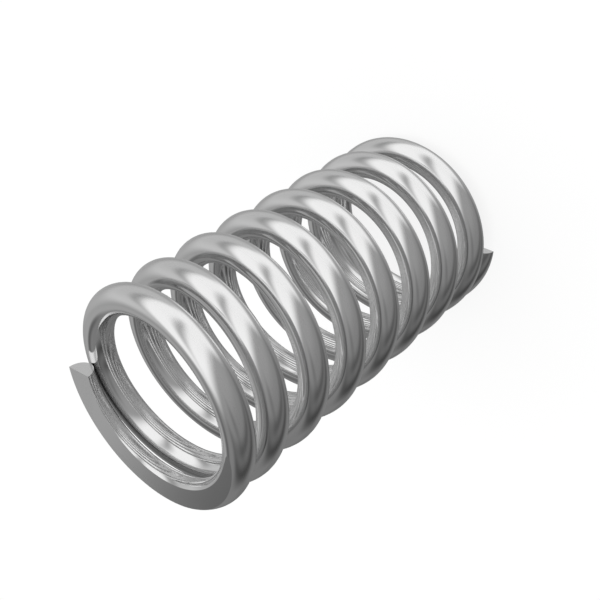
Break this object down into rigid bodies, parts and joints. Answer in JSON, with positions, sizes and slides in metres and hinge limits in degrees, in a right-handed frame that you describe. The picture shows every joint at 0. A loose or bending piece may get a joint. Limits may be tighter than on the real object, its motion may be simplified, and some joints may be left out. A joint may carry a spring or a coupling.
{
  "type": "compression spring",
  "caption": "Round-wire compression spring, wound left-handed, with both ends closed and ground flat.",
  "frame": {"origin": "centre of the coil in the plane of the lower ground face, where the spring stands", "axes": "+Z along the coil's axis towards the upper ground face; +X through the middle of the lower cut tip of the wire"},
  "size_m": [0.023, 0.023, 0.0445],
  "materials": {
    "polished_steel": "polished round wire, satin ground end faces"
  },
  "bodies": {
    "root": {"coil_spring": "polished_steel"}
  },
  "joints": []
}
